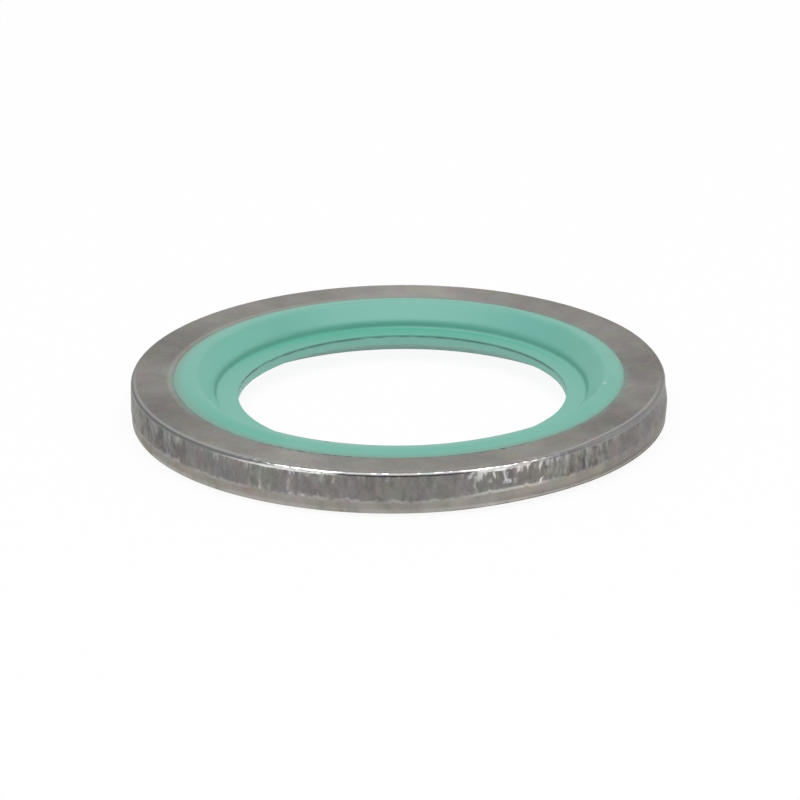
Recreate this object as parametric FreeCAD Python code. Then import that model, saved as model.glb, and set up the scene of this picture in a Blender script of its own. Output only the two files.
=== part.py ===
import FreeCAD, Part
import math
import os

# Bonded seal for a 14 mm screw plug: a blanked steel ring with a rubber element that
# is moulded and bonded round its bore. All sizes are in millimetres.
#
# The seal lies flat on its lower bead. +Z is its axis, and the origin is the middle
# of the circle on which it rests. Heights in a section count from the middle plane.

# Steel ring
ring_outer_diameter = 22.0
ring_width = 2.3
ring_thickness = 1.7

# The outside is as the blanking tool leaves it: a shoulder that dips and rolls over
# under the tool, an upright sheared land, and a torn band that leans in. Its sharp
# lower corner is broken by tumbling.
roll_width = 0.32
roll_dip = 0.04
roll_rounding = 0.16
torn_height = 0.48
torn_lean = 0.03
tumbled_bevel = 0.05

# Bevels on both edges of the ring's bore, under the rubber
bore_bevel = 0.12

# Skirt of the rubber element, which laps over both faces of the ring
skirt_lap = 0.60
skirt_edge = 0.03

# Bead, the same on both faces, whose crest stands proud of the steel
bead_height = 0.20
crest_inset = 0.21
crest_width = 0.16
crest_rounding = 0.12
flank_run = 0.59

# Step at the foot of the bead, from which the lip springs
step_height = 0.25
step_draft = 0.04

# Lip that centres the seal on the screw, and grips its thread by the lip's upright edge
lip_reach = 0.90
lip_root_thickness = 0.54
lip_edge_thickness = 0.40

# Radii and heights that follow from the sizes above
ring_outer_radius = ring_outer_diameter / 2
ring_bore_radius = ring_outer_radius - ring_width
bevel_radius = ring_bore_radius + bore_bevel
ring_face = ring_thickness / 2
skirt_radius = ring_bore_radius + skirt_lap
crest_outer_radius = ring_bore_radius - crest_inset
crest_inner_radius = crest_outer_radius - crest_width
crest_level = ring_face + bead_height
flank_foot_radius = crest_inner_radius - flank_run
lip_root_radius = flank_foot_radius - step_draft
lip_root_level = lip_root_thickness / 2
lip_bore_radius = lip_root_radius - lip_reach

# A rounding takes at most this share of either side that it joins
largest_share = 0.45


def at(radius, level):
    """A point of the section, level above or below the ring's middle plane."""
    return FreeCAD.Vector(radius, 0, crest_level + level)


def line(start, end):
    return Part.LineSegment(start, end).toShape()


def rounded_path(corners):
    """Edges through corners (radius, level, rounding), with tangent arcs where rounded."""
    points = [at(radius, level) for radius, level, _ in corners]
    edges = []
    reached = points[0]
    for before, corner, after, (_, _, rounding) in zip(points, points[1:], points[2:], corners[1:]):
        back = before - corner
        ahead = after - corner
        half_turn = (math.pi - back.getAngle(ahead)) / 2
        room = largest_share * min(back.Length, ahead.Length)
        reach = min(rounding * math.tan(half_turn), room)
        start = corner + back.normalize() * reach
        end = corner + ahead.normalize() * reach
        edges.append(line(reached, start))
        if reach > 0:
            crown = corner + (back + ahead).normalize() * reach * math.tan(half_turn / 2)
            edges.append(Part.Arc(start, crown, end).toShape())
        reached = end
    edges.append(line(reached, points[-1]))
    return edges


def revolved(edges):
    """The solid swept by a closed section in one turn about the axis."""
    section = Part.Face(Part.Wire(Part.__sortEdges__(edges)))
    return section.revolve(FreeCAD.Vector(0, 0, 0), FreeCAD.Vector(0, 0, 1), 360)


def bore_edges():
    """The ring's bore, from its top face to its bottom face, where the rubber is bonded."""
    return rounded_path([
        (bevel_radius, ring_face, 0),
        (ring_bore_radius, ring_face - bore_bevel, 0),
        (ring_bore_radius, bore_bevel - ring_face, 0),
        (bevel_radius, -ring_face, 0),
    ])


def steel_ring():
    """The blanked ring, with its rolled shoulder on top and its torn band below."""
    outside = rounded_path([
        (bevel_radius, ring_face, 0),
        (ring_outer_radius - roll_width, ring_face, 0),
        (ring_outer_radius, ring_face - roll_dip, roll_rounding),
        (ring_outer_radius, torn_height - ring_face, 0),
        (ring_outer_radius - torn_lean, tumbled_bevel - ring_face, 0),
        (ring_outer_radius - torn_lean - tumbled_bevel, -ring_face, 0),
        (bevel_radius, -ring_face, 0),
    ])
    return revolved(outside + bore_edges())


def rubber_seal():
    """The moulded element: two skirts, two beads and one lip, bonded to the ring's bore."""
    upper_half = [
        (bevel_radius, ring_face, 0),
        (skirt_radius, ring_face, 0),
        (skirt_radius, ring_face + skirt_edge, 0),
        (crest_outer_radius, crest_level, 0),
        (crest_inner_radius, crest_level, crest_rounding),
        (flank_foot_radius, lip_root_level + step_height, 0),
        (lip_root_radius, lip_root_level, 0),
        (lip_bore_radius, lip_edge_thickness / 2, 0),
    ]
    lower_half = [(radius, -level, rounding) for radius, level, rounding in reversed(upper_half)]
    return revolved(rounded_path(upper_half + lower_half) + bore_edges())


def main():
    os.makedirs("parts", exist_ok=True)
    steel_ring().exportStep("parts/steel_ring.step")
    rubber_seal().exportStep("parts/rubber_seal.step")


main()
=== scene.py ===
"""A bonded seal: a blanked and tumbled steel ring with a green rubber seal bonded round its bore."""
import logging
import math
from dataclasses import dataclass, field
from enum import Enum

import bpy
from mathutils import Matrix, Vector


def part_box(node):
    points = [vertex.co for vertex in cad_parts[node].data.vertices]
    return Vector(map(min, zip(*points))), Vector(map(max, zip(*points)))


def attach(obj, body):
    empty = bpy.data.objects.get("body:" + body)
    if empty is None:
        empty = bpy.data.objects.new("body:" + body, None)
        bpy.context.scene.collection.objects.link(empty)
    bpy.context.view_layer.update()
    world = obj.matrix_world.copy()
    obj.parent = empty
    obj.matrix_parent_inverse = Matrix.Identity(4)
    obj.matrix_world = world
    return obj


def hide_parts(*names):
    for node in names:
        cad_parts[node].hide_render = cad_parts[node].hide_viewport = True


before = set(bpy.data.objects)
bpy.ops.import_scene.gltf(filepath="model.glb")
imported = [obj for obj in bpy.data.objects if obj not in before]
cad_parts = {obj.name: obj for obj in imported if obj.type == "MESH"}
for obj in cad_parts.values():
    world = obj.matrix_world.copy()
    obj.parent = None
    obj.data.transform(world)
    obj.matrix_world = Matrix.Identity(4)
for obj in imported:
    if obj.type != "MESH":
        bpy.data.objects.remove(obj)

MM = 0.001
log = logging.getLogger("seal ring")

Socket = bpy.types.NodeSocket
Colour = tuple[float, float, float]
Point = tuple[float, float, float]
# Where a change starts, and where it is complete
Range = tuple[float, float]
# Where something starts, is full, starts to fade and is gone
Stretch = tuple[float, float, float, float]


class Value:
    """A number socket whose operators add Math nodes to its graph."""

    def __init__(self, graph: "Graph", socket: Socket) -> None:
        """Keeps the graph that new nodes go in, and the output that carries the number."""
        self.graph = graph
        self.socket = socket

    def math(self, operation: str, first: object, second: object = 0.0) -> "Value":
        """Adds one Math node that works on two numbers or values."""
        return self.graph.value("ShaderNodeMath", {"operation": operation}, {0: first, 1: second})

    def __add__(self, other: object) -> "Value":
        """This value plus another."""
        return self.math("ADD", self, other)

    __radd__ = __add__

    def __sub__(self, other: object) -> "Value":
        """This value minus another."""
        return self.math("SUBTRACT", self, other)

    def __rsub__(self, other: object) -> "Value":
        """Another value minus this one."""
        return self.math("SUBTRACT", other, self)

    def __mul__(self, other: object) -> "Value":
        """This value times another."""
        return self.math("MULTIPLY", self, other)

    __rmul__ = __mul__

    def __truediv__(self, other: object) -> "Value":
        """This value divided by another."""
        return self.math("DIVIDE", self, other)

    def __abs__(self) -> "Value":
        """The size of this value without its sign."""
        return self.math("ABSOLUTE", self)

    def larger(self, other: object) -> "Value":
        """The larger of this value and another."""
        return self.math("MAXIMUM", self, other)

    def ramp(self, start: object, end: object) -> "Value":
        """A smooth change from 0 at the start to 1 at the end, which may be the lower of the two."""
        sockets = {"Value": self, "From Min": start, "From Max": end}
        return self.graph.value("ShaderNodeMapRange", {"interpolation_type": "SMOOTHSTEP"}, sockets)

    def span(self, rise: float, full: float, fall: float, gone: float) -> "Value":
        """A smooth stretch, 1 from full to fall, and 0 below rise and above gone."""
        return self.ramp(rise, full) * self.ramp(gone, fall)

    def hump(self, centre: object, width: float) -> "Value":
        """A smooth hump, 1 at the centre and 0 from width away."""
        return abs(self - centre).ramp(width, 0.0)

    def between(self, low: float, high: float) -> "Value":
        """Turns 0 to 1 into low to high."""
        return self * (high - low) + low


@dataclass(frozen=True)
class Noise:
    """One pattern of smooth noise: features in a millimetre, seed, finer layers and their strength."""

    scale: float
    seed: float
    detail: float = 2.0
    roughness: float = 0.5


class Graph:
    """A node tree, shader or geometry, to which nodes are added by type."""

    def __init__(self, tree: bpy.types.NodeTree) -> None:
        """Keeps the tree."""
        self.tree = tree

    def add(self, kind: str, settings: dict | None = None, sockets: dict | None = None) -> bpy.types.Node:
        """Adds one node.

        Args:
            kind: the node's type.
            settings: its own settings, set before its sockets.
            sockets: numbers, colours, values or sockets for its inputs, by name or place.

        Returns:
            The new node.
        """
        node = self.tree.nodes.new(kind)
        for name, setting in (settings or {}).items():
            setattr(node, name, setting)
        for name, given in (sockets or {}).items():
            if isinstance(name, int):
                target = node.inputs[name]
            else:
                target = next(s for s in node.inputs if s.name == name and s.enabled)
            if isinstance(given, Value):
                given = given.socket
            if isinstance(given, Socket):
                self.tree.links.new(given, target)
            else:
                target.default_value = given
        return node

    def out(self, kind: str, settings: dict | None = None, sockets: dict | None = None,
            name: str | int = 0) -> Socket:
        """Adds one node and gives one of its outputs.

        Args:
            kind: the node's type.
            settings: its own settings.
            sockets: what its inputs get.
            name: the output's name or place.

        Returns:
            That output socket.
        """
        node = self.add(kind, settings, sockets)
        if isinstance(name, int):
            return node.outputs[name]
        return next(s for s in node.outputs if s.name == name and s.enabled)

    def value(self, kind: str, settings: dict | None = None, sockets: dict | None = None,
              name: str | int = 0) -> Value:
        """Adds one node and gives one of its outputs as a value that can be reckoned with."""
        return Value(self, self.out(kind, settings, sockets, name))

    def split(self, vector: Socket) -> tuple[Value, Value, Value]:
        """The three parts of a vector."""
        node = self.add("ShaderNodeSeparateXYZ", sockets={0: vector})
        return Value(self, node.outputs[0]), Value(self, node.outputs[1]), Value(self, node.outputs[2])

    def vector(self, x: object, y: object, z: object) -> Socket:
        """A vector made of three parts."""
        return self.out("ShaderNodeCombineXYZ", sockets={0: x, 1: y, 2: z})

    def scaled(self, vector: Socket, factor: object) -> Socket:
        """A vector times a number."""
        return self.out("ShaderNodeVectorMath", {"operation": "SCALE"}, {0: vector, "Scale": factor})

    def measure(self, operation: str, first: Socket, second: object = (0.0, 0.0, 0.0)) -> Value:
        """A number worked out from two vectors, such as their distance."""
        return self.value("ShaderNodeVectorMath", {"operation": operation}, {0: first, 1: second}, "Value")

    def noise(self, vector: Socket, pattern: Noise, name: str | int = 0) -> Value:
        """Smooth noise about 0.5, or three such noises where the name is Color.

        Args:
            vector: where it is read.
            pattern: its scale, seed and layers.
            name: the output's name or place.

        Returns:
            The noise.
        """
        sockets = {"Vector": vector, "W": pattern.seed, "Scale": pattern.scale,
                   "Detail": pattern.detail, "Roughness": pattern.roughness}
        return self.value("ShaderNodeTexNoise", {"noise_dimensions": "4D"}, sockets, name)

    def cells(self, vector: Socket, scale: float, seed: float) -> Value:
        """The distance from the nearest of many scattered points, 0 at a point."""
        sockets = {"Vector": vector, "W": seed, "Scale": scale}
        return self.value("ShaderNodeTexVoronoi", {"voronoi_dimensions": "4D"}, sockets)

    def mixed(self, factor: object, first: object, second: object, blend: str = "MIX") -> Socket:
        """Mixes two colours.

        Args:
            factor: how much of the second there is.
            first: a colour or a colour socket.
            second: a colour or a colour socket.
            blend: how the second is laid on the first.

        Returns:
            The mixed colour.
        """
        settings = {"data_type": "RGBA", "blend_type": blend, "clamp_factor": True}
        sockets = {"Factor": factor, "A": rgba(first), "B": rgba(second)}
        return self.out("ShaderNodeMix", settings, sockets, "Result")

    def bump(self, height: Value, strength: float, distance: float) -> Socket:
        """A normal that follows a fine relief whose full height is distance millimetres."""
        sockets = {"Strength": strength, "Distance": distance * MM, "Height": height}
        return self.out("ShaderNodeBump", None, sockets, "Normal")

    def mark(self, name: str) -> Value:
        """A mark that the mesh's points carry, as a material reads it."""
        return self.value("ShaderNodeAttribute", {"attribute_name": name}, name="Fac")

    def marked(self, mesh: Socket, name: str, value: Value) -> Socket:
        """A mesh whose points carry a value under a name that the finish reads."""
        sockets = {"Geometry": mesh, "Name": name, "Value": value}
        return self.out("GeometryNodeStoreNamedAttribute", None, sockets)

    def moved(self, mesh: Socket, offset: Socket) -> Socket:
        """A mesh whose points are moved by an offset."""
        return self.out("GeometryNodeSetPosition", None, {"Geometry": mesh, "Offset": offset})


def rgba(colour: object) -> object:
    """A colour with its alpha, or the socket or value that was given."""
    return (*colour, 1.0) if isinstance(colour, tuple) else colour


def new_material(name: str) -> tuple[bpy.types.Material, Graph]:
    """An empty node material.

    Args:
        name: its name.

    Returns:
        The material and the graph of its nodes.
    """
    material = bpy.data.materials.new(name)
    material.use_nodes = True
    material.node_tree.nodes.clear()
    return material, Graph(material.node_tree)


@dataclass(frozen=True)
class Sector:
    """A stretch of the ring, in degrees anticlockwise from +X: its middle, how far to either side it
    reaches, and how far it counts in full."""

    middle: float
    reach: float
    full: float = 0.0


class Place:
    """A point of the part, in millimetres, as a finish or a relief reads it."""

    def __init__(self, graph: Graph, position: Socket) -> None:
        """Splits a position.

        Args:
            graph: the graph that reckons with the point.
            position: the point, in metres.
        """
        self.graph = graph
        self.point = graph.scaled(position, 1 / MM)
        self.x, self.y, self.z = graph.split(self.point)
        self.flat = graph.vector(self.x, self.y, 0.0)
        self.radius = graph.measure("LENGTH", self.flat)

    def turn(self) -> Value:
        """The point's direction in degrees from the front, positive to the right."""
        return self.x.math("ARCTAN2", self.x, self.y * -1.0) * math.degrees(1)

    def facing(self, *sectors: Sector) -> Value:
        """How nearly the point lies in the middle of a sector.

        Args:
            sectors: one or more, which don't meet.

        Returns:
            1 where a sector is full, and 0 beyond the reach of them all.
        """
        shares = []
        for sector in sectors:
            turn = math.radians(sector.middle)
            along = self.graph.measure("DOT_PRODUCT", self.flat, (math.cos(turn), math.sin(turn), 0.0))
            reach = math.cos(math.radians(sector.reach))
            shares.append((along / self.radius).ramp(reach, math.cos(math.radians(sector.full))))
        return sum(shares[1:], shares[0])

    def near(self, point: Point, away: Range) -> Value:
        """How near a point is: 0 at the first distance, 1 at the second."""
        return self.graph.measure("DISTANCE", self.point, point).ramp(*away)

    def upright(self, share: float) -> Socket:
        """The point with a share of its height, for marks that run up and down."""
        return self.graph.vector(self.x, self.y, self.z * share)


# Where the land is scored hardest, which its relief and its finish both show
STREAKED = (Sector(203, 16, 8), Sector(309, 13, 6))


@dataclass(frozen=True)
class Scratch:
    """One bright upright mark on the rim.

    Its direction is in degrees from the front, positive to the right, and lean is how far its top
    lies to the right of its foot. Heights and width are in millimetres.
    """

    degrees: float
    high: float
    low: float
    width: float
    strength: float
    lean: float = 0.0
    core: float = 0.3
    fade: float = 0.05

    def mark(self, turn: Value, height: Value, rim: float) -> Value:
        """How strong the scratch is at a point of the rim.

        Args:
            turn: the point's direction, in degrees from the front.
            height: its height.
            rim: the rim's radius.

        Returns:
            The scratch's strength along its middle, and 0 off it.
        """
        climb = (height - self.low) / (self.high - self.low)
        away = abs(turn - (climb * self.lean + self.degrees)) * math.radians(rim)
        length = height.span(self.low - self.fade, self.low + self.fade,
                             self.high - self.fade, self.high + self.fade)
        return away.ramp(self.width, self.width * self.core) * length * self.strength


@dataclass(frozen=True)
class TumbledSteel:
    """Blanked steel, dulled by tumbling: matt faces with painted reflection, a worn roll with painted
    highlights and a painted dark line, a scored land and a brown torn band with painted light on its foot.

    Lengths are in millimetres. Streaks, scratches and stretches are in degrees from the front,
    positive to the right.
    """

    rim: float
    top: float
    bottom: float

    # Colours
    face_dark: Colour = (0.190, 0.180, 0.168)
    face_light: Colour = (0.430, 0.408, 0.380)
    land_dark: Colour = (0.128, 0.123, 0.117)
    land_light: Colour = (0.305, 0.291, 0.275)
    score_bright: Colour = (0.450, 0.438, 0.425)
    torn_dark: Colour = (0.250, 0.230, 0.204)
    torn_light: Colour = (0.375, 0.350, 0.318)
    # pale torn edge, and painted light on the leaning foot
    pale_tear_and_foot_highlight: Colour = (0.640, 0.605, 0.570)
    roll_grey: Colour = (0.225, 0.222, 0.220)
    # painted highlight of the roll
    roll_highlight: Colour = (0.425, 0.421, 0.416)
    # painted highlight of the lamp on the roll, and worn metal in the scratches
    highlight_and_wear_white: Colour = (0.900, 0.890, 0.870)
    # painted dark reflection of the room's front along the roll
    dark_reflection: Colour = (0.085, 0.084, 0.086)
    edge_pale: Colour = (0.440, 0.425, 0.400)
    rubber_film: Colour = (0.225, 0.370, 0.325)
    grazing_tint: Colour = (0.76, 0.76, 0.76)

    # Patterns of the faces, the land and the torn band
    blotches: Noise = Noise(0.9, 3.1, 4.0, 0.6)
    grain: Noise = Noise(7.0, 7.7, 3.0, 0.6)
    mottling: Noise = Noise(6.5, 1.3, 2.0, 0.6)
    scoring: Noise = Noise(3.4, 5.9)
    tear_breaks: Noise = Noise(2.2, 8.1, 3.0, 0.6)
    tints: Noise = Noise(1.1, 5.5, 3.0)

    # Patterns of the worn metal
    ragged: Noise = Noise(4.2, 3.3, 3.0, 0.6)
    blobs: Noise = Noise(3.0, 4.7)
    layers: Noise = Noise(5.0, 2.9, 2.0, 0.6)
    hanging: Noise = Noise(3.6, 7.2, 2.0, 0.6)
    crooked: Noise = Noise(3.5, 6.6)
    chips: Noise = Noise(6.0, 8.8, 2.0, 0.6)

    # Film of rubber on the steel just outside the skirt, and the paler steel there
    film_radius: Range = (9.54, 9.24)
    halo_radius: float = 9.38
    halo_width: float = 0.20
    halo: Sector = Sector(150, 70, 30)

    # Painted reflection on the face, in patches lighter in front and behind and darker at the sides: x, y
    # and reach, round a point at this height
    patch_height: float = 1.0
    painted_light_patches: tuple[Point, ...] = ((0.8, 10.2, 5.0), (-4.2, -8.8, 2.6), (4.9, -8.6, 1.8))
    painted_shade_patches: tuple[Point, ...] = (
        (-9.2, 4.0, 3.4), (8.6, -5.4, 4.2), (10.0, 1.2, 3.0), (-9.4, -3.6, 4.0))

    # Sectors and ends that differ from the rest
    darker_torn_sector: Sector = Sector(208, 16)
    bared_tear: Sector = Sector(294, 11, 4)
    # where the roll carries a painted highlight
    highlit_roll: Sector = Sector(335, 30, 12)
    # where the leaning foot carries painted light against its shade
    lit_foot: Sector = Sector(322, 42, 20)
    right_end: Range = (42, 58)
    right_roll: Range = (36, 50)
    foot_height: Range = (0.17, 0.07)
    foot_depth: Range = (0.25, 0.15)

    # Where the painted highlights of the lamp along the roll lie, and its lines
    left_highlight: Stretch = (-32, -24, -15, -11)
    right_highlight: Stretch = (13, 19, 29, 37)
    heavy_highlight: Stretch = (15, 18, 26, 31)
    thin_highlight: Stretch = (-16, -11, 11, 17)
    strand_ends: Stretch = (-31, -25, 30, 40)
    lower_ends: Stretch = (-47, -43, -16, -12)
    highlit_front: Stretch = (-40, -22, 22, 40)
    line_ends: Stretch = (-104, -86, 74, 92)

    # How far past the edge the painted dark reflection lines lie, and how far above it the painted pale
    # highlight line
    end_dark_line: float = 0.03
    end_dark_line_width: float = 0.055
    front_dark_line: float = 0.12
    front_dark_line_width: float = 0.05
    pale_line: float = 0.12
    pale_line_width: float = 0.08

    # Dark streaks of the land: direction and reach
    dark_streaks: tuple[tuple[float, float], ...] = (
        (-72.3, 1.8), (-68.4, 1.7), (-61.5, 3.6), (-52.5, 1.6), (39.3, 1.3), (42.6, 1.0), (45.7, 1.3),
        (49.2, 1.3))
    scratches: tuple[Scratch, ...] = (
        Scratch(-54.7, 1.80, 1.45, 0.10, 0.15),
        Scratch(-42.1, 1.72, 1.46, 0.10, 0.26),
        Scratch(-34.0, 1.70, 1.45, 0.10, 0.22),
        Scratch(-30.8, 1.16, 0.68, 0.11, 0.28),
        Scratch(-24.1, 1.40, 0.80, 0.12, 0.16),
        Scratch(-23.3, 0.78, 0.66, 0.13, 0.45),
        Scratch(-20.7, 0.78, 0.67, 0.12, 0.32),
        Scratch(-14.0, 1.73, 1.38, 0.11, 0.28, 0.5),
        Scratch(-2.5, 1.72, 1.52, 0.10, 0.16),
        Scratch(14.8, 1.83, 1.50, 0.10, 0.45, 0.9),
        Scratch(16.3, 1.60, 0.82, 0.08, 0.22, -0.6),
        Scratch(19.4, 1.60, 1.22, 0.10, 0.30, 0.6),
        Scratch(22.7, 1.78, 1.10, 0.14, 0.50),
        Scratch(23.4, 1.28, 1.10, 0.17, 0.70),
        Scratch(24.9, 1.26, 1.08, 0.15, 0.50),
        Scratch(26.4, 1.80, 1.50, 0.12, 0.45, -0.4),
        Scratch(30.6, 1.08, 0.84, 0.10, 0.80, 0.9),
        Scratch(35.3, 1.86, 1.58, 0.12, 0.32),
        Scratch(37.7, 1.84, 0.95, 0.13, 0.16),
        Scratch(43.3, 1.84, 1.00, 0.10, 0.20),
        Scratch(46.4, 1.84, 1.15, 0.10, 0.22),
        Scratch(49.7, 1.82, 1.20, 0.11, 0.14),
    )

    def material(self) -> bpy.types.Material:
        """Builds the material from Object coordinates and the marks that the ring's points carry.

        Returns:
            The material.
        """
        material, graph = new_material("tumbled_steel")
        place = Place(graph, graph.out("ShaderNodeTexCoord", name="Object"))
        land, roll, torn, tear_line = (graph.mark(name) for name in ("land", "roll", "torn", "tear_line"))
        turn = place.turn()
        right = turn.ramp(*self.right_end)
        shade = sum(turn.hump(degrees, reach) for degrees, reach in self.dark_streaks)
        blotch = graph.noise(place.point, self.blotches)
        grain = graph.noise(place.point, self.grain)
        mottle = self._mottle(place, shade)
        highlight_and_wear, dark_line, upper_line = self._roll_marks(place, turn)
        highlight_and_wear = highlight_and_wear * (1 - shade * 0.7)
        broken = graph.noise(place.point, self.tear_breaks).ramp(0.38, 0.62)
        foot = (place.z - self.bottom).ramp(*self.foot_height)
        foot = foot * (self.rim - place.radius).ramp(*self.foot_depth)
        colour = self._face_colour(place, blotch, grain)
        coats = (
            (land, self._land_colour(place, mottle, shade)),
            (torn * (1 - right * 0.5), self._torn_colour(place, blotch, grain)),
            (tear_line * broken * (0.7 - right * 0.5), self.score_bright),
            (tear_line * place.facing(self.bared_tear) * 0.75, self.pale_tear_and_foot_highlight),
            (roll, self.roll_grey),
            # painted highlight on the roll at its right, and a painted pale highlight line at the top of
            # the edge
            (roll * place.facing(self.highlit_roll) * 0.42, self.roll_highlight),
            (upper_line, self.roll_highlight),
            # painted dark reflection: a thin dark line along the roll
            (dark_line, self.dark_reflection),
            # painted highlight: white strands where the lamp reflects in the roll; worn white metal in the
            # scratches
            (highlight_and_wear, self.highlight_and_wear_white),
            (foot * blotch.ramp(0.30, 0.55) * 0.75, self.edge_pale),
            # painted light on the leaning foot at the right, against the shade its lean gives
            (foot * place.facing(self.lit_foot) * 0.55, self.pale_tear_and_foot_highlight),
        )
        for share, coat in coats:
            colour = graph.mixed(share, colour, coat)
        tint = graph.noise(place.point, self.tints, "Color")
        colour = graph.mixed(land * 0.03 + 0.13 - torn * 0.03, colour, tint, "OVERLAY")
        roughness = grain.between(0.42, 0.58) - land * 0.14 - roll * 0.12 - highlight_and_wear * 0.20 + torn * 0.08
        shader = graph.out("ShaderNodeBsdfPrincipled", None, {
            "Base Color": colour, "Metallic": 1.0, "Roughness": roughness,
            "Normal": graph.bump(grain * 0.4 + mottle * land * 0.4, 0.35, 0.02),
            "Specular Tint": rgba(self.grazing_tint)})
        graph.add("ShaderNodeOutputMaterial", sockets={"Surface": shader})
        return material

    def _face_colour(self, place: Place, blotch: Value, grain: Value) -> Socket:
        """The flat faces: patchy grey, with patches of painted reflection, a halo and a film of rubber
        outside the skirt.

        Args:
            place: the point.
            blotch: its coarse noise.
            grain: its fine noise.

        Returns:
            The colour.
        """
        tone = (blotch * 0.6 + grain * 0.4).ramp(0.30, 0.70) * 0.34 + 0.33
        # Painted reflection: the face lighter in front and behind, and darker at its sides
        for x, y, reach in self.painted_light_patches:
            tone = tone + place.near((x, y, self.patch_height), (reach, 0.0)) * 0.42
        for x, y, reach in self.painted_shade_patches:
            tone = tone - place.near((x, y, self.patch_height), (reach, 0.0)) * 0.34
        tone = tone + place.radius.hump(self.halo_radius, self.halo_width) * place.facing(self.halo) * 0.40
        colour = place.graph.mixed(tone, self.face_dark, self.face_light)
        film = place.radius.ramp(*self.film_radius) * blotch.ramp(0.30, 0.60)
        return place.graph.mixed(film * 0.6, colour, self.rubber_film)

    def _mottle(self, place: Place, shade: Value) -> Value:
        """How light the land is, from 0 to 1.

        Args:
            place: the point.
            shade: how deep it lies in a dark streak.

        Returns:
            The land's tone.
        """
        fine = place.graph.noise(place.upright(0.45), self.mottling).ramp(0.30, 0.70)
        mottle = place.graph.mark("patchy") * 0.55 + fine * 0.45
        return (mottle - 0.5) * (place.facing(*STREAKED) * 0.6 + 0.60) + 0.5 - shade * 0.30

    def _land_colour(self, place: Place, mottle: Value, shade: Value) -> Socket:
        """The upright land, with its bright scores.

        Args:
            place: the point.
            mottle: the land's tone there.
            shade: how deep the point lies in a dark streak.

        Returns:
            The colour.
        """
        colour = place.graph.mixed(mottle, self.land_dark, self.land_light)
        faint = place.graph.noise(place.flat, self.scoring).ramp(0.35, 0.65) * 0.5 + 0.08
        scored = place.graph.mark("score") * faint * (1 - shade * 0.8)
        return place.graph.mixed(scored, colour, self.score_bright)

    def _torn_colour(self, place: Place, blotch: Value, grain: Value) -> Socket:
        """The torn band's brown, darker in one sector."""
        tone = (blotch * 0.75 + grain * 0.25).ramp(0.25, 0.65) - place.facing(self.darker_torn_sector) * 0.4
        return place.graph.mixed(tone, self.torn_dark, self.torn_light)

    def _roll_marks(self, place: Place, turn: Value) -> tuple[Value, Value, Value]:
        """The marks along the rolled edge: worn white metal with painted highlights, a painted dark
        reflection line, and a painted pale highlight line over it.

        Args:
            place: the point.
            turn: its direction, in degrees from the front.

        Returns:
            How strong each of the three is.
        """
        past = (self.top - place.z) - (self.rim - place.radius)
        right = turn.ramp(*self.right_roll)
        ends = 1 - turn.span(*self.highlit_front)
        fading = turn.span(*self.line_ends)
        # The painted dark reflection line along the roll
        dark_line = past.hump(self.end_dark_line, self.end_dark_line_width) * ends
        dark_line = dark_line * (turn.ramp(-46, -58) * 0.20 + 0.25) * (1 - right * 0.85)
        front = turn.span(*self.thin_highlight) * (turn.hump(-1, 10) * 0.54 + 0.22)
        front = past.hump(self.front_dark_line, self.front_dark_line_width) * front
        dark_line = (dark_line + front) * fading.between(0.5, 1.0)
        # The painted pale highlight line over the dark line
        wider = turn.ramp(-22, -36) * 0.035 + right * 0.035 + self.pale_line_width
        upper_line = abs(past + right * 0.16 + self.pale_line).ramp(wider, 0.0) * ends * fading * 0.8
        return self._highlight_and_wear(place, turn, past), dark_line, upper_line

    def _highlight_and_wear(self, place: Place, turn: Value, past: Value) -> Value:
        """The white metal: painted highlights of the lamp as a strand on the edge, another below it and
        smears that hang, and the worn metal of scratches.

        Args:
            place: the point.
            turn: its direction, in degrees from the front.
            past: how far down the land it lies from the edge, negative on the face.

        Returns:
            How white the metal is, by painted highlight and by wear.
        """
        graph = place.graph
        left = turn.span(*self.left_highlight)
        right = turn.span(*self.right_highlight)
        heavy = turn.span(*self.heavy_highlight)
        thin = turn.span(*self.thin_highlight)
        ragged = graph.noise(place.flat, self.ragged) - 0.5
        blobs = graph.noise(place.flat, self.blobs).ramp(0.55, 0.63)
        layered = graph.noise(graph.vector(place.x * 0.4, place.y * 0.4, past * 3.0), self.layers)
        layered = layered.ramp(0.56, 0.64)
        # The strands are painted highlights of the lamp on the roll
        strand = left * 0.030 + right * 0.012 + heavy * 0.070 + 0.024
        strand = strand - abs(past + ragged * (left * 0.09 + right * 0.16 + 0.03)
                              - (heavy * 0.06 - thin * 0.06 + 0.03))
        strand = strand.ramp(-0.025, 0.025) * turn.span(*self.strand_ends) * (1 - turn.ramp(21, 27) * 0.3)
        strand = strand * (1 - thin * (1 - blobs) * 0.94) * (1 - layered * (left * 0.25 + right * 0.5))
        lower = turn.ramp(-46, -24) * 0.050 + 0.012
        lower = lower - abs(past + ragged * 0.09 - (0.16 - turn.ramp(-40, -14) * 0.05))
        lower = lower.ramp(-0.022, 0.022) * turn.span(*self.lower_ends)
        lower = lower * turn.ramp(-50, -22) * (1 - layered * 0.3)
        hung = graph.noise(place.upright(0.5), self.hanging) - past * 0.28
        hung = hung.ramp(0.43, 0.56) * (right + left * 0.3) * past.span(0.0, 0.08, 0.3, 0.8)
        highlight_and_wear = strand.larger(lower).larger(hung * 0.7)
        turn = turn + (graph.noise(place.point, self.crooked) - 0.5) * 1.8
        chipped = graph.noise(place.upright(0.6), self.chips).ramp(0.36, 0.60)
        for scratch in self.scratches:
            highlight_and_wear = highlight_and_wear.larger(scratch.mark(turn, place.z, self.rim) * chipped)
        return highlight_and_wear


@dataclass(frozen=True)
class PaintedLightBand:
    """A band round the axis that paints a colour of its own in one sector, standing for the light and
    shade that fall there.
    """

    colour: Colour
    radius: Range
    sector: Sector
    strength: float = 1.0

    def over(self, place: Place, colour: Socket) -> Socket:
        """The band's colour laid over another."""
        share = place.radius.ramp(*self.radius) * place.facing(self.sector) * self.strength
        return place.graph.mixed(share, colour, self.colour)


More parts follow.
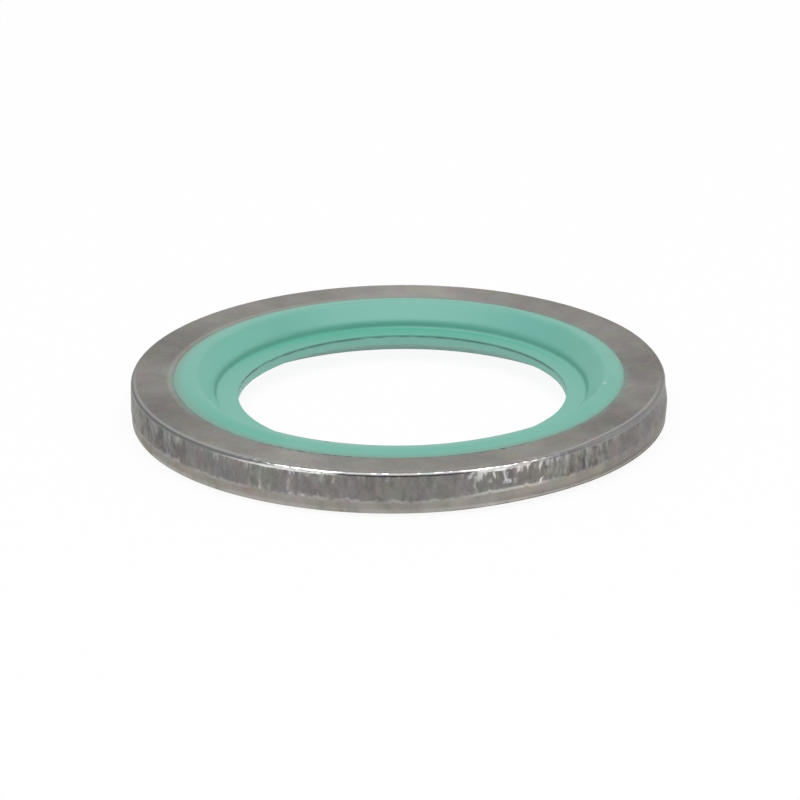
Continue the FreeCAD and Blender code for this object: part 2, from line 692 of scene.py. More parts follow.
@dataclass(frozen=True)
class GreenRubber:
    """Moulded pale green rubber, matt: darker in its crease and parting line by painted shade, paler below
    by painted light, with a painted highlight on its crest and painted light and shade in sectors of the
    lip and the bead.

    Lengths are in millimetres, and heights count from the seal's middle plane.
    """

    middle: float

    # Colours
    bead_light: Colour = (0.158, 0.437, 0.354)
    bead_deep: Colour = (0.138, 0.415, 0.330)
    lip_light: Colour = (0.130, 0.425, 0.332)
    lip_deep: Colour = (0.112, 0.405, 0.312)
    # painted light at the lip's left and right sides
    lip_side_light: Colour = (0.166, 0.436, 0.360)
    # painted shade in the crease
    crease_shade: Colour = (0.080, 0.400, 0.298)
    # painted highlight of the crest
    crest_highlight: Colour = (0.228, 0.455, 0.390)
    skirt_edge: Colour = (0.178, 0.308, 0.256)
    # painted light on the lower half, standing for light from below
    under_lip_light: Colour = (0.220, 0.505, 0.425)
    # paler painted light on the lower bead
    under_bead_light: Colour = (0.520, 0.840, 0.760)
    speck: Colour = (0.42, 0.62, 0.56)
    # painted shade of the parting line, and the dark of the nick
    parting_shade_and_nick: Colour = (0.030, 0.080, 0.070)
    shine: float = 0.65

    # Patterns
    clouds: Noise = Noise(0.7, 2.2, 3.0, 0.55)
    grain: Noise = Noise(14.0, 4.6, 3.0, 0.6)
    parting_shade_breaks: Noise = Noise(1.1, 6.4, 3.0, 0.6)
    speck_scale: float = 1.6
    speck_seed: float = 9.0

    # The bead and the lip
    bead_radius: Range = (7.52, 7.70)
    # painted shade on the far flank and on the front-left skirt, painted light on the left flank
    painted_bead_bands: tuple[PaintedLightBand, ...] = (
        PaintedLightBand((0.128, 0.420, 0.345), (8.42, 8.30), Sector(82, 62, 30)),
        PaintedLightBand((0.155, 0.468, 0.378), (8.32, 8.06), Sector(172, 45, 20)),
        PaintedLightBand((0.112, 0.405, 0.312), (8.50, 8.80), Sector(220, 24, 8), 0.85),
    )
    # where the lip carries painted light
    lit_lip_sides: tuple[Sector, Sector] = (Sector(0, 78, 35), Sector(180, 78, 35))
    # where the crest carries its painted highlight
    crest_radius: float = 8.50
    crest_width: float = 0.30
    crest_height: Range = (0.85, 0.95)
    crest_front: Sector = Sector(270, 50, 12)
    crest_back: Sector = Sector(95, 45, 15)

    # The crease between them with its painted shade, the skirt's thin edge, and what lies below with its
    # painted light
    shaded_crease: Sector = Sector(92, 76, 32)
    crease_radius: Stretch = (7.22, 7.46, 7.50, 7.62)
    crease_height: Range = (0.0, 0.05)
    thin_skirt: Sector = Sector(172, 60, 25)
    skirt_radius: Range = (8.98, 9.30)
    skirt_thinning: float = 0.24
    # where the painted light of the lower half and of the lower bead lies
    under_lip_height: Range = (0.09, 0.02)
    under_bead_height: Range = (-0.40, -0.75)
    under_bead_radius: Range = (8.34, 8.22)

    # A pale fleck and a dark nick on the crest: place, and distances at which each starts and is full
    fleck_at: Point = (8.41, -1.54, 2.1)
    fleck_reach: Range = (0.12, 0.05)
    nick_at: Point = (-2.90, -7.88, 2.1)
    nick_reach: Range = (0.15, 0.06)

    def material(self) -> bpy.types.Material:
        """Builds the material from Object coordinates and the mark of the parting line.

        Returns:
            The material.
        """
        material, graph = new_material("green_rubber")
        place = Place(graph, graph.out("ShaderNodeTexCoord", name="Object"))
        grain = graph.noise(place.point, self.grain)
        above = place.z - self.middle
        # painted highlight along the crest, strongest at the front
        crest = place.radius.hump(self.crest_radius, self.crest_width) * above.ramp(*self.crest_height)
        crest = crest * (place.facing(self.crest_front) * 0.8 + place.facing(self.crest_back) * 0.4)
        shaded_crease = place.radius.span(*self.crease_radius) * above.ramp(*self.crease_height)
        shaded_crease = shaded_crease * place.facing(self.shaded_crease)
        skirt_starts = self.skirt_radius[0] - place.facing(self.thin_skirt) * self.skirt_thinning
        skirt = place.radius.ramp(skirt_starts, self.skirt_radius[1])
        under_bead_light = above.ramp(*self.under_bead_height) * place.radius.ramp(*self.under_bead_radius)
        specks = graph.cells(place.point, self.speck_scale, self.speck_seed).ramp(0.09, 0.03)
        # painted shade along the parting line, broken in places
        parting_shade = graph.mark("parting") * graph.noise(place.point, self.parting_shade_breaks).ramp(0.36, 0.55)
        colour = self._bare_colour(place, grain)
        coats = (
            (crest, self.crest_highlight),
            # painted shade in the crease, on the far side
            (shaded_crease * 0.75, self.crease_shade),
            (skirt * 0.9, self.skirt_edge),
            # painted light below: the lower half paler, and the lower bead paler still
            (above.ramp(*self.under_lip_height), self.under_lip_light),
            (under_bead_light, self.under_bead_light),
            (specks * 0.5, self.speck),
            (place.near(self.fleck_at, self.fleck_reach) * 0.7, self.speck),
            (place.near(self.nick_at, self.nick_reach) * 0.6, self.parting_shade_and_nick),
            (parting_shade * 0.60, self.parting_shade_and_nick),
        )
        for share, coat in coats:
            colour = graph.mixed(share, colour, coat)
        shader = graph.out("ShaderNodeBsdfPrincipled", None, {
            "Base Color": colour, "Roughness": grain.between(0.38, 0.52) + shaded_crease * 0.35,
            "Normal": graph.bump(grain, 0.3, 0.01), "Specular IOR Level": self.shine})
        graph.add("ShaderNodeOutputMaterial", sockets={"Surface": shader})
        return material

    def _bare_colour(self, place: Place, grain: Value) -> Socket:
        """The cloudy green of the bead and the lip, with painted light at the lip's sides and painted
        light and shade in bands of the bead.

        Args:
            place: the point.
            grain: its fine noise.

        Returns:
            The colour.
        """
        graph = place.graph
        mottle = (graph.noise(place.point, self.clouds) * 0.8 + grain * 0.2).ramp(0.35, 0.68)
        lip = graph.mixed(mottle, self.lip_deep, self.lip_light)
        # painted light at the lip's left and right sides
        lip = graph.mixed(place.facing(*self.lit_lip_sides) * 0.9, lip, self.lip_side_light)
        bead = graph.mixed(mottle, self.bead_deep, self.bead_light)
        # painted light and shade in bands of the bead
        for band in self.painted_bead_bands:
            bead = band.over(place, bead)
        return graph.mixed(place.radius.ramp(*self.bead_radius), lip, bead)


@dataclass(frozen=True)
class StudioWhite:
    """The pale floor: partly its own white to the camera, so that its shadow stays faint."""

    paint: Colour = (0.92, 0.92, 0.92)
    own_white: float = 0.92

    def material(self) -> bpy.types.Material:
        """Builds the material.

        Returns:
            The material.
        """
        material, graph = new_material("studio_white")
        path = graph.add("ShaderNodeLightPath")
        seen = Value(graph, path.outputs["Is Camera Ray"]).larger(path.outputs["Is Glossy Ray"])
        paint = graph.out("ShaderNodeBsdfDiffuse", sockets={"Color": rgba(self.paint)})
        white = graph.out("ShaderNodeEmission", sockets={"Strength": 1.0})
        shader = graph.out("ShaderNodeMixShader", None, {0: seen * self.own_white, 1: paint, 2: white})
        graph.add("ShaderNodeOutputMaterial", sockets={"Surface": shader})
        return material


class Zone(Enum):
    """The kinds of surface round a section, each of which can be a mark on its points."""

    FACE = "face"
    ROLL = "roll"
    LAND = "land"
    TORN = "torn_band"
    BEVEL = "bevel"
    BORE = "bore"
    SKIRT = "skirt"
    BEAD = "bead"
    LIP = "lip"
    PARTING = "parting"


@dataclass(frozen=True)
class Corner:
    """One corner of a section, in millimetres, and the stretch of surface that follows it."""

    radius: float
    height: float
    rounding: float
    zone: Zone
    steps: int = 1


@dataclass(frozen=True)
class Section:
    """A closed section of a turned piece, walked outwards over the top and inwards below."""

    corners: tuple[Corner, ...]
    arc_step: float
    largest_share: float = 0.45

    def points(self) -> list[tuple[float, float, Zone]]:
        """Walks round the section.

        Returns:
            The radius, height and zone of its points, roundings included, in order.
        """
        walked: list[tuple[float, float, Zone]] = []
        arcs = [self._arc(index) for index in range(len(self.corners))]
        for corner, arc, next_arc in zip(self.corners, arcs, arcs[1:] + arcs[:1]):
            walked += [(point.x, point.y, corner.zone) for point in arc]
            for step in range(1, corner.steps):
                point = arc[-1].lerp(next_arc[0], step / corner.steps)
                walked.append((point.x, point.y, corner.zone))
        return walked

    def _arc(self, index: int) -> list[Vector]:
        """The points of one corner, one where it is sharp and several where it is rounded.

        Args:
            index: the corner's place.

        Returns:
            Its points, in order.
        """
        corner = self._at(index)
        back = self._at(index - 1) - corner
        ahead = self._at((index + 1) % len(self.corners)) - corner
        turn = math.pi - back.angle(ahead)
        room = self.largest_share * min(back.length, ahead.length)
        reach = min(self.corners[index].rounding * math.tan(turn / 2), room)
        if reach <= 0:
            return [corner]
        radius = reach / math.tan(turn / 2)
        inward = (back.normalized() + ahead.normalized()).normalized()
        centre = corner + inward * math.hypot(reach, radius)
        start = corner + back.normalized() * reach - centre
        steps = max(2, round(turn / self.arc_step))
        sign = 1 if back.x * ahead.y - back.y * ahead.x > 0 else -1
        angles = (sign * turn * step / steps for step in range(steps + 1))
        return [centre + Matrix.Rotation(-angle, 2) @ start for angle in angles]

    def _at(self, index: int) -> Vector:
        """The place of one corner."""
        return Vector((self.corners[index].radius, self.corners[index].height))


@dataclass(frozen=True)
class Turning:
    """A piece swept once round the axis by Geometry Nodes, with its relief laid on afterwards."""

    name: str
    path_radius: float
    turn_steps: int

    def base(self, section: Section, kept: tuple[Zone, ...] = ()) -> bpy.types.Object:
        """The section as a loop of edges.

        Args:
            section: the section, in millimetres.
            kept: the zones that the finish reads, which become marks on its points.

        Returns:
            The new object, which has no faces yet.
        """
        points = section.points()
        mesh = bpy.data.meshes.new(self.name)
        places = [((radius - self.path_radius) * MM, -height * MM, 0.0) for radius, height, _ in points]
        mesh.from_pydata(places, [(i, (i + 1) % len(points)) for i in range(len(points))], [])
        for zone in kept:
            mark = mesh.attributes.new(zone.value, "FLOAT", "POINT")
            mark.data.foreach_set("value", [float(own is zone) for _, _, own in points])
        piece = bpy.data.objects.new(self.name, mesh)
        bpy.context.scene.collection.objects.link(piece)
        return piece

    def tree(self, relief: dict[str, float]) -> tuple[Graph, dict[str, Value]]:
        """Starts the Geometry Nodes tree with its named inputs.

        Args:
            relief: the names and values of the relief's own inputs.

        Returns:
            The graph, and its inputs by name.
        """
        tree = bpy.data.node_groups.new(self.name + " sweep", "GeometryNodeTree")
        tree.is_modifier = True
        tree.interface.new_socket(name="Geometry", in_out="OUTPUT", socket_type="NodeSocketGeometry")
        kinds = {"Geometry": "NodeSocketGeometry", "Path Radius": "NodeSocketFloat",
                 "Turn Steps": "NodeSocketInt", "Material": "NodeSocketMaterial"}
        for name in (*kinds, *relief):
            kind = kinds.get(name, "NodeSocketFloat")
            tree.interface.new_socket(name=name, in_out="INPUT", socket_type=kind)
        graph = Graph(tree)
        entry = graph.add("NodeGroupInput")
        return graph, {socket.name: Value(graph, socket) for socket in entry.outputs if socket.name}

    def swept(self, graph: Graph, given: dict[str, Value]) -> Socket:
        """Sweeps the section round the axis.

        Args:
            graph: the tree's graph.
            given: its inputs.

        Returns:
            The swept mesh.
        """
        profile = graph.out("GeometryNodeMeshToCurve", sockets={"Mesh": given["Geometry"]})
        circle = graph.out("GeometryNodeCurvePrimitiveCircle", None,
                           {"Resolution": given["Turn Steps"], "Radius": given["Path Radius"]})
        path = graph.out("GeometryNodeSetCurveNormal", {"mode": "Z_UP"}, {"Curve": circle})
        return graph.out("GeometryNodeCurveToMesh", None, {"Curve": path, "Profile Curve": profile})

    def close(self, graph: Graph, mesh: Socket, material: Value) -> None:
        """Ends the tree.

        Args:
            graph: the tree's graph.
            mesh: the finished mesh, which is made real and smooth.
            material: the tree's own input for its material.
        """
        real = graph.out("GeometryNodeRealizeInstances", sockets={"Geometry": mesh})
        smooth = graph.out("GeometryNodeSetShadeSmooth", sockets={"Geometry": real})
        dressed = graph.out("GeometryNodeSetMaterial", sockets={"Geometry": smooth, "Material": material})
        graph.add("NodeGroupOutput", sockets={"Geometry": dressed})

    def run(self, piece: bpy.types.Object, graph: Graph, relief: dict[str, float],
            material: bpy.types.Material) -> None:
        """Runs the tree on the piece and keeps its result as a plain mesh.

        Args:
            piece: the object with the section.
            graph: the finished tree.
            relief: what the relief's inputs are set to.
            material: the piece's finish.
        """
        values = {"Path Radius": self.path_radius * MM, "Turn Steps": self.turn_steps,
                  "Material": material, **relief}
        modifier = piece.modifiers.new("sweep", "NODES")
        modifier.node_group = graph.tree
        for item in graph.tree.interface.items_tree:
            if item.in_out == "INPUT" and item.name in values:
                modifier[item.identifier] = values[item.name]
        depsgraph = bpy.context.evaluated_depsgraph_get()
        made = bpy.data.meshes.new_from_object(piece.evaluated_get(depsgraph), depsgraph=depsgraph)
        piece.modifiers.remove(modifier)
        section = piece.data
        piece.data = made
        bpy.data.meshes.remove(section)
        made.name = self.name


@dataclass(frozen=True)
class Bond:
    """The ring's bore, to which the rubber is bonded, in millimetres."""

    radius: float = 8.70
    bevel: float = 0.12

    @property
    def face_radius(self) -> float:
        """Where the bevel meets the face."""
        return self.radius + self.bevel


@dataclass
class SteelRing:
    """The blanked steel ring. Lengths are in millimetres, heights from the plane it rests on."""

    outer_radius: float
    bottom: float
    top: float
    bond: Bond

    # Section
    roll_width: float = 0.32
    roll_dip: float = 0.05
    roll_rounding: float = 0.22
    shoulder_rounding: float = 0.05
    torn_height: float = 0.48
    torn_lean: float = 0.02
    tumbled_bevel: float = 0.03
    tumbled_rounding: float = 0.02
    burr_width: float = 0.22
    path_radius: float = 10.0
    turn_steps: int = 1560
    arc_step: float = math.radians(14)

    # Relief
    score_depth: float = 0.016
    tear_depth: float = 0.025
    smear_depth: float = 0.018
    foot_lean: float = 0.11
    side_dip: float = 0.07
    burr_drop: float = 0.060
    foot_lift: float = 0.030

    # Where the land, the roll and the smears start and are full, in from the rim or down from the top
    land_depth: Range = (0.16, 0.06)
    roll_depth: Range = (0.16, 0.11)
    roll_drop: Range = (0.20, 0.15)
    smear_drop: Range = (0.45, 0.15)

    # The ragged line between the land and the torn band: how far it strays from the mean
    tear_step: float = 0.17
    tear_step_at: Range = (1.5, 3.8)
    tear_stray: float = 0.14
    tear_peak: float = 0.12
    tear_sink: float = 0.03
    tear_blur: float = 0.03
    tear_line_width: float = 0.10
    stray: Noise = Noise(0.8, 1.0)
    peaks: Noise = Noise(2.6, 2.0, 1.0)

    # Scores that hang from the roll and others that rise from the tear: the share of height that their
    # pattern keeps, how soon they fade, and where in the pattern they start and are full
    score_upright: float = 0.22
    hung_fading: float = 0.50
    hung_scored: Range = (0.42, 0.62)
    risen_fading: float = 0.42
    risen_scored: Range = (0.90, 1.06)

    # Patterns of the scores, the patches, the smears and the torn metal
    hung_scores: Noise = Noise(8.5, 3.0)
    risen_scores: Noise = Noise(7.0, 8.0)
    patches: Noise = Noise(1.9, 9.0, 5.0, 0.65)
    smears: Noise = Noise(3.2, 5.0)
    tearing: Noise = Noise(5.5, 6.0, 3.0)

    # Sectors that differ from the rest
    battered: tuple[Sector, Sector] = (Sector(246, 16), Sector(294, 13))
    smooth: tuple[Sector, Sector] = (Sector(271, 16, 9), Sector(338, 18, 8))
    leaning_foot: Sector = Sector(320, 45, 15)
    dipped_side: Sector = Sector(352, 38)
    dipped_height: Range = (0.85, 1.5)
    dropped_corner: Sector = Sector(243, 65, 10)
    lifted_corner: Sector = Sector(318, 40, 18)
    corner_height: float = 0.15
    corner_inset: float = 0.05
    piece: bpy.types.Object | None = field(default=None, init=False)

    def section(self) -> Section:
        """The ring's section.

        Returns:
            The section, walked from the skirt over the roll, down the rim and back through the bore.
        """
        rim = self.outer_radius
        torn_foot = rim - self.torn_lean
        return Section((
            Corner(self.bond.face_radius, self.top, 0, Zone.FACE, 6),
            Corner(rim - self.roll_width, self.top, self.shoulder_rounding, Zone.ROLL, 5),
            Corner(rim, self.top - self.roll_dip, self.roll_rounding, Zone.LAND, 20),
            Corner(rim, self.bottom + self.torn_height, 0, Zone.TORN, 7),
            Corner(torn_foot, self.bottom + self.tumbled_bevel, self.tumbled_rounding, Zone.BEVEL, 3),
            Corner(torn_foot - self.tumbled_bevel, self.bottom, self.tumbled_rounding, Zone.FACE, 1),
            Corner(rim - self.burr_width, self.bottom, 0, Zone.FACE, 4),
            Corner(self.bond.face_radius, self.bottom, 0, Zone.BORE),
            Corner(self.bond.radius, self.bottom + self.bond.bevel, 0, Zone.BORE),
            Corner(self.bond.radius, self.top - self.bond.bevel, 0, Zone.BORE),
        ), self.arc_step)

    def build(self) -> None:
        """Sweeps the section, keeps the marks that the finish reads and lays on the relief."""
        turning = Turning("steel_body", self.path_radius, self.turn_steps)
        self.piece = turning.base(self.section())
        relief = {"Score Depth": self.score_depth, "Tear Depth": self.tear_depth,
                  "Smear Depth": self.smear_depth, "Foot Lean": self.foot_lean,
                  "Side Dip": self.side_dip, "Burr Drop": self.burr_drop, "Foot Lift": self.foot_lift}
        graph, given = turning.tree(relief)
        mesh = turning.swept(graph, given)
        place = Place(graph, graph.out("GeometryNodeInputPosition"))
        marks = self._marks(place)
        for name, mark in marks.items():
            mesh = graph.marked(mesh, name, mark)
        near_roll = (self.top - place.z).ramp(*self.smear_drop)
        out_x, out_y, out_z = graph.split(graph.out("GeometryNodeInputNormal"))
        inwards = graph.vector(out_x, out_y, out_z * near_roll)
        mesh = graph.moved(mesh, graph.scaled(inwards, self._depth(place, marks, near_roll, given) * -MM))
        burr = (place.facing(self.dropped_corner) * given["Burr Drop"]
                - place.facing(self.lifted_corner) * given["Foot Lift"])
        corner = (place.z - self.bottom).ramp(self.corner_height, 0.0)
        corner = corner * (self.outer_radius - place.radius).ramp(self.burr_width, self.corner_inset)
        mesh = graph.moved(mesh, graph.vector(0.0, 0.0, corner * burr * -MM))
        turning.close(graph, mesh, given["Material"])
        finish = TumbledSteel(self.outer_radius, self.top, self.bottom)
        turning.run(self.piece, graph, relief, finish.material())

    def _marks(self, place: Place) -> dict[str, Value]:
        """Where the ring's surfaces and their scores lie.

        Args:
            place: the point.

        Returns:
            How far the point belongs to each, by the names that the finish reads.
        """
        graph = place.graph
        depth = self.outer_radius - place.radius
        land = depth.ramp(*self.land_depth)
        tear_middle = self.bottom + self.torn_height
        tear = (place.x.ramp(*self.tear_step_at) * self.tear_step
                + (graph.noise(place.flat, self.stray) - 0.5) * self.tear_stray
                + graph.noise(place.flat, self.peaks).ramp(0.50, 0.80) * self.tear_peak
                + (tear_middle - self.tear_sink))
        torn = place.z.ramp(tear + self.tear_blur, tear - self.tear_blur) * land
        land_top = self.top - self.roll_drop[0]
        drop = (land_top - place.z) / (land_top - tear_middle)
        battered = place.facing(*self.battered)
        smooth = place.facing(*self.smooth)
        upright = place.upright(self.score_upright)
        hung = graph.noise(upright, self.hung_scores) - drop * self.hung_fading
        hung = hung + battered * 0.04 + place.facing(*STREAKED) * 0.10 - smooth * 0.06
        risen = graph.noise(upright, self.risen_scores) + drop * self.risen_fading
        risen = risen + battered * 0.05 - smooth * 0.10
        scored = hung.ramp(*self.hung_scored).larger(risen.ramp(*self.risen_scored))
        return {
            "patchy": graph.noise(place.upright(0.7), self.patches).ramp(0.34, 0.66),
            "score": scored * land * (1 - torn),
            "torn": torn,
            "tear_line": place.z.hump(tear + 0.01, self.tear_line_width) * land,
            "roll": (self.top - place.z).ramp(*self.roll_drop) * depth.ramp(*self.roll_depth),
            "land": land,
        }

    def _depth(self, place: Place, marks: dict[str, Value], near_roll: Value,
               given: dict[str, Value]) -> Value:
        """How far the surface is sunk by scores, torn metal, smears and the rim's own unevenness.

        Args:
            place: the point.
            marks: how far it belongs to each kind of surface.
            near_roll: how near it is to the roll.
            given: the tree's inputs.

        Returns:
            The depth, in millimetres.
        """
        graph = place.graph
        torn = marks["torn"]
        scored = marks["score"] * (1 - marks["tear_line"]) * (1 - marks["roll"])
        rough = graph.noise(place.point, self.tearing).between(0.3, 1.2)
        smear = graph.noise(place.upright(1.5), self.smears).ramp(0.35, 0.7)
        down = (self.bottom + self.torn_height - place.z).ramp(0.0, self.torn_height)
        dipped = place.facing(self.dipped_side) * place.z.ramp(*self.dipped_height)
        return (scored * given["Score Depth"]
                + torn * rough * given["Tear Depth"]
                + near_roll * (place.facing(*self.battered) * 0.8 + 0.3) * smear * given["Smear Depth"]
                + torn * down * place.facing(self.leaning_foot) * given["Foot Lean"]
                + dipped * marks["land"] * given["Side Dip"])

    def dress(self) -> None:
        """Puts the ring in the frame in place of its solid."""
        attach(self.piece, "root")
        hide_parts("steel_ring")
        report(self.piece)


@dataclass
class RubberSeal:
    """The rubber: two skirts, two beads and one lip. Lengths are in millimetres, and levels count
    from the seal's middle plane."""

    middle: float
    face: float
    bond: Bond

    # Section
    skirt_radius: float = 9.30
    skirt_edge: float = 0.015
    skirt_feather: float = 0.06
    skirt_lip: float = 0.004
    bead_height: float = 0.20
    crest_outer_radius: float = 8.56
    crest_inner_radius: float = 8.37
    low_crest_radius: float = 8.19
    crest_rounding: float = 0.30
    flank_foot_radius: float = 7.66
    flank_foot_top: float = 0.42
    lip_root_radius: float = 7.59
    lip_root_top: float = 0.14
    hollow_radius: float = 7.40
    hollow_top: float = 0.12
    lip_root_foot: float = -0.27
    step_height: float = 0.295
    lip_radius: float = 6.74
    lip_top: float = 0.15
    lip_foot: float = -0.28
    parting_level: float = 0.065
    parting_width: float = 0.05
    parting_depth: float = 0.03

    # Roundings of the section, the low ones below the middle plane
    lip_rounding: float = 0.04
    hollow_rounding: float = 0.40
    root_rounding: float = 0.20
    flank_rounding: float = 0.30
    feather_rounding: float = 0.02
    low_crest_rounding: float = 0.08
    low_root_rounding: float = 0.15
    low_lip_rounding: float = 0.03

    # Sweep
    path_radius: float = 8.0
    turn_steps: int = 850
    arc_step: float = math.radians(16)

    # Relief: how the beads, the lip and the skirt run out of true
    bead_shift: float = 0.045
    upper_shift: float = 0.045
    bead_pinch: float = 0.070
    lip_shift: float = 0.045
    lip_waver: float = 0.020
    lip_droop: float = 0.050
    skirt_draw: float = 0.072
    bond_margin: float = 0.02
    upper_level: Range = (-0.6, -0.1)
    skirt_level: Range = (0.0, 0.1)
    wavering: Noise = Noise(1.4, 1.0, 3.0, 0.6)
    pinched: Sector = Sector(309, 32)
    drooping: Sector = Sector(154, 30, 10)
    full_skirt: Sector = Sector(270, 70, 25)
    piece: bpy.types.Object | None = field(default=None, init=False)

    def section(self) -> Section:
        """The seal's section.

        Returns:
            The section, walked from the lip's upper edge over the bead, round the bond and back below.
        """
        crest = self.face + self.bead_height
        line_top = self.parting_level + self.parting_width / 2
        line_foot = self.parting_level - self.parting_width / 2
        dark_line = self.lip_radius + self.parting_depth
        feather = self.skirt_radius - self.skirt_feather
        step_foot = self.lip_root_foot - self.step_height
        walked = (
            (self.lip_radius, self.lip_top, self.lip_rounding, Zone.LIP, 7),
            (self.hollow_radius, self.hollow_top, self.hollow_rounding, Zone.LIP, 2),
            (self.lip_root_radius, self.lip_root_top, self.root_rounding, Zone.LIP, 2),
            (self.flank_foot_radius, self.flank_foot_top, self.flank_rounding, Zone.BEAD, 8),
            (self.crest_inner_radius, crest, self.crest_rounding, Zone.BEAD, 2),
            (self.crest_outer_radius, crest, self.crest_rounding, Zone.SKIRT, 6),
            (feather, self.face + self.skirt_edge, self.feather_rounding, Zone.SKIRT, 1),
            (self.skirt_radius - self.skirt_lip, self.face + self.skirt_lip * 0.25, 0, Zone.SKIRT, 1),
            (self.skirt_radius, self.face, 0, Zone.SKIRT, 3),
            (self.bond.face_radius, self.face, 0, Zone.BORE, 1),
            (self.bond.radius, self.face - self.bond.bevel, 0, Zone.BORE, 1),
            (self.bond.radius, self.bond.bevel - self.face, 0, Zone.BORE, 1),
            (self.bond.face_radius, -self.face, 0, Zone.SKIRT, 3),
            (self.skirt_radius, -self.face, 0, Zone.SKIRT, 1),
            (feather, -self.face - self.skirt_edge, self.feather_rounding, Zone.SKIRT, 6),
            (self.crest_outer_radius, -crest, self.crest_rounding, Zone.BEAD, 2),
            (self.low_crest_radius, -crest, self.low_crest_rounding, Zone.BEAD, 8),
            (self.flank_foot_radius, step_foot, self.flank_rounding, Zone.LIP, 3),
            (self.lip_root_radius, self.lip_root_foot, self.low_root_rounding, Zone.LIP, 8),
            (self.lip_radius, self.lip_foot, self.low_lip_rounding, Zone.LIP, 5),
            (self.lip_radius, line_foot, 0, Zone.PARTING, 1),
            (dark_line, self.parting_level, 0, Zone.PARTING, 1),
            (self.lip_radius, line_top, 0, Zone.LIP, 1),
        )
        corners = (Corner(radius, self.middle + level, *rest) for radius, level, *rest in walked)
        return Section(tuple(corners), self.arc_step)

    def build(self) -> None:
        """Sweeps the section, and lets the beads, the lip and the skirt run a little out of true."""
        turning = Turning("rubber_element", self.path_radius, self.turn_steps)
        self.piece = turning.base(self.section(), (Zone.PARTING,))
        relief = {"Bead Shift": self.bead_shift, "Upper Shift": self.upper_shift,
                  "Bead Pinch": self.bead_pinch, "Lip Shift": self.lip_shift, "Lip Waver": self.lip_waver,
                  "Lip Droop": self.lip_droop, "Skirt Draw": self.skirt_draw}
        graph, given = turning.tree(relief)
        mesh = turning.swept(graph, given)
        place = Place(graph, graph.out("GeometryNodeInputPosition"))
        mesh = graph.moved(mesh, self._offset(place, given))
        turning.close(graph, mesh, given["Material"])
        turning.run(self.piece, graph, relief, GreenRubber(self.middle).material())

    def _offset(self, place: Place, given: dict[str, Value]) -> Socket:
        """How far a point of the seal lies out of true.

        Args:
            place: the point.
            given: the tree's inputs.

        Returns:
            The offset, in metres.
        """
        level = place.z - self.middle
        upper = level.ramp(*self.upper_level)
        on_bead = place.radius.ramp(self.bond.radius - self.bond_margin, self.crest_inner_radius)
        on_lip = place.radius.ramp(self.lip_root_radius, self.lip_radius)
        on_skirt = place.radius.ramp(self.bond.face_radius, self.skirt_radius)
        on_skirt = on_skirt * level.ramp(*self.skirt_level)
        sideways = (on_bead * (upper * given["Upper Shift"] + given["Bead Shift"])
                    + on_lip * given["Lip Shift"])
        waver = (place.graph.noise(place.flat, self.wavering) - 0.5) * 2
        pinched = on_bead * upper * place.facing(self.pinched)
        drawn = on_skirt * (1 - place.facing(self.full_skirt)) * (waver * 0.4 + 1)
        outwards = (on_lip * waver * given["Lip Waver"] - pinched * given["Bead Pinch"]
                    - drawn * given["Skirt Draw"])
        drooping = level.ramp(0.0, self.lip_foot) * on_lip * place.facing(self.drooping)
        return place.graph.vector((sideways + outwards * place.x / place.radius) * MM,
                                  (outwards * place.y / place.radius) * MM,
                                  drooping * given["Lip Droop"] * -MM)

    def dress(self) -> None:
        """Puts the seal in the frame in place of its solid."""
        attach(self.piece, "root")
        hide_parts("rubber_seal")
        report(self.piece)


@dataclass(frozen=True)
class Lamp:
    """A soft lamp overhead that looks straight down. Lengths are in metres."""

    centre: Point = (0.0, -0.12, 0.50)
    width: float = 0.56
    length: float = 0.50
    radiance: float = 2.4

    def build(self) -> None:
        """Adds the lamp."""
        light = bpy.data.lights.new("lamp", "AREA")
        light.shape = "RECTANGLE"
        light.size = self.width
        light.size_y = self.length
        light.energy = self.radiance * math.pi * self.width * self.length
        lamp = bpy.data.objects.new("lamp", light)
        lamp.location = self.centre
        bpy.context.scene.collection.objects.link(lamp)


@dataclass(frozen=True)
class Studio:
    """A pale floor, a white backdrop all round, and one soft lamp overhead."""

    floor_size: float = 3.0
    fill: float = 0.55
    lamp: Lamp = Lamp()

    # The dark patch that reflections show: its light, and where it starts and is full in front, at its
    # sides and at its top, as parts of a direction
    dark_front: float = 0.10
    patch_front: Range = (0.0, -0.3)
    patch_sides: Range = (0.65, 0.40)
    patch_top: Range = (0.55, 0.40)

    def build(self) -> None:
        """Builds the floor, the backdrop and the lamp."""
        half = self.floor_size / 2
        mesh = bpy.data.meshes.new("floor")
        corners = [(-half, -half, 0), (half, -half, 0), (half, half, 0), (-half, half, 0)]
        mesh.from_pydata(corners, [], [(0, 1, 2, 3)])
        mesh.materials.append(StudioWhite().material())
        floor = bpy.data.objects.new("floor", mesh)
        bpy.context.scene.collection.objects.link(floor)
        self._backdrop()
        self.lamp.build()

    def _backdrop(self) -> None:
        """White, with a dark patch low in front that only reflections show."""
        world = bpy.data.worlds.new("studio")
        world.use_nodes = True
        world.node_tree.nodes.clear()
        graph = Graph(world.node_tree)
        path = graph.add("ShaderNodeLightPath")
        camera = Value(graph, path.outputs["Is Camera Ray"])
        glossy = Value(graph, path.outputs["Is Glossy Ray"])
        x, y, z = graph.split(graph.out("ShaderNodeTexCoord", name="Generated"))
        dark = y.ramp(*self.patch_front) * abs(x / y).ramp(*self.patch_sides) * z.ramp(*self.patch_top)
        shown = dark.between(1.0, self.dark_front)
        strength = camera + (1 - camera) * (glossy * shown + (1 - glossy) * self.fill)
        light = graph.out("ShaderNodeBackground", sockets={"Strength": strength})
        graph.add("ShaderNodeOutputWorld", sockets={"Surface": light})
        bpy.context.scene.world = world


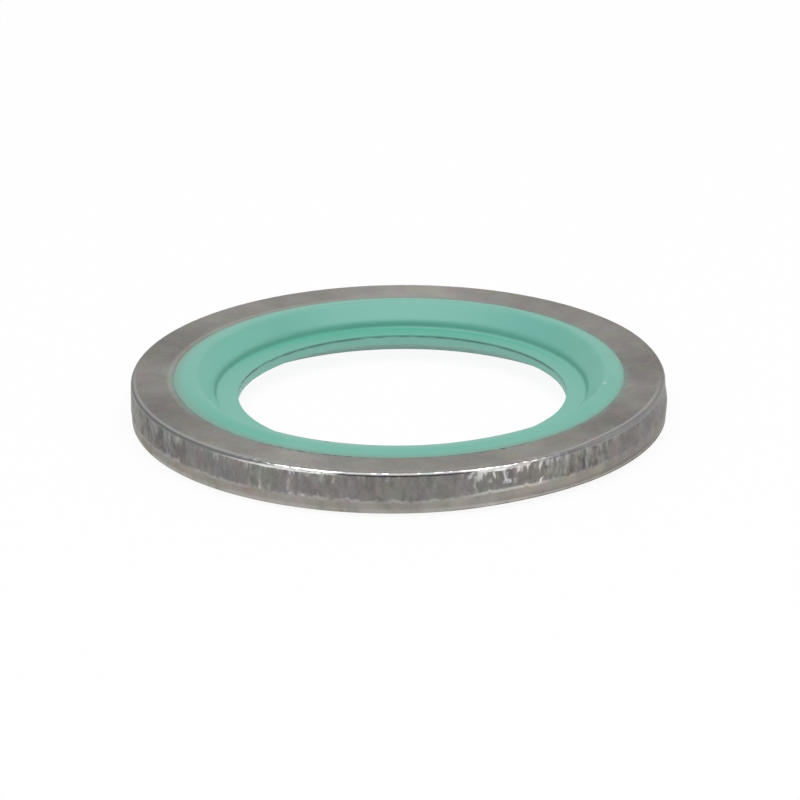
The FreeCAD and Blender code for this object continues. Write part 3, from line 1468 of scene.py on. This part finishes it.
@dataclass(frozen=True)
class PhotoCamera:
    """The camera at the photograph's viewing angle."""

    target: Vector
    distance: float = 0.44
    elevation: float = math.radians(20.95)
    roll: float = math.radians(-0.50)
    lens: float = 482.3
    sensor: float = 36.0
    image_pixels: float = 800.0
    right_pixels: float = -0.8
    down_pixels: float = 14.8

    def build(self) -> None:
        """Adds the camera and makes it the scene's own."""
        away = Vector((0.0, -math.cos(self.elevation), math.sin(self.elevation)))
        level = Vector((1.0, 0.0, 0.0))
        upward = away.cross(level)
        right = level * math.cos(self.roll) + upward * math.sin(self.roll)
        up = upward * math.cos(self.roll) - level * math.sin(self.roll)
        pixel = self.distance * self.sensor / self.lens / self.image_pixels
        place = self.target + away * self.distance
        aim = self.target + up * self.down_pixels * pixel - right * self.right_pixels * pixel
        back = (place - aim).normalized()
        right = (right - back * right.dot(back)).normalized()
        turn = Matrix((right, back.cross(right), back)).transposed()
        camera = bpy.data.cameras.new("camera")
        camera.lens = self.lens
        camera.sensor_width = self.sensor
        camera.clip_start = 0.01
        camera.clip_end = 20.0
        holder = bpy.data.objects.new("camera", camera)
        holder.matrix_world = Matrix.Translation(place) @ turn.to_4x4()
        bpy.context.scene.collection.objects.link(holder)
        bpy.context.scene.camera = holder


def report(piece: bpy.types.Object) -> None:
    """Logs a piece's size and its number of triangles.

    Args:
        piece: the finished piece.
    """
    triangles = sum(len(polygon.vertices) - 2 for polygon in piece.data.polygons)
    size = ", ".join(f"{length / MM:.2f}" for length in piece.dimensions)
    log.info("%s: %s mm, %d triangles", piece.name, size, triangles)


def main() -> None:
    """Builds the part, the studio and the camera."""
    logging.basicConfig(level=logging.INFO, format="%(name)s: %(message)s")
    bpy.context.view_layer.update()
    bpy.context.scene.view_settings.view_transform = "Standard"
    low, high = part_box("steel_ring")
    seal_low, seal_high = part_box("rubber_seal")
    middle = (seal_low.z + seal_high.z) / 2 / MM
    bond = Bond()
    steel = SteelRing(min(high.x, -low.x, high.y, -low.y) / MM, low.z / MM, high.z / MM, bond)
    steel.build()
    steel.dress()
    rubber = RubberSeal(middle, (high.z - low.z) / 2 / MM, bond)
    rubber.build()
    rubber.dress()
    Studio().build()
    PhotoCamera(Vector((0.0, 0.0, low.z))).build()


if __name__ == "__main__":
    main()
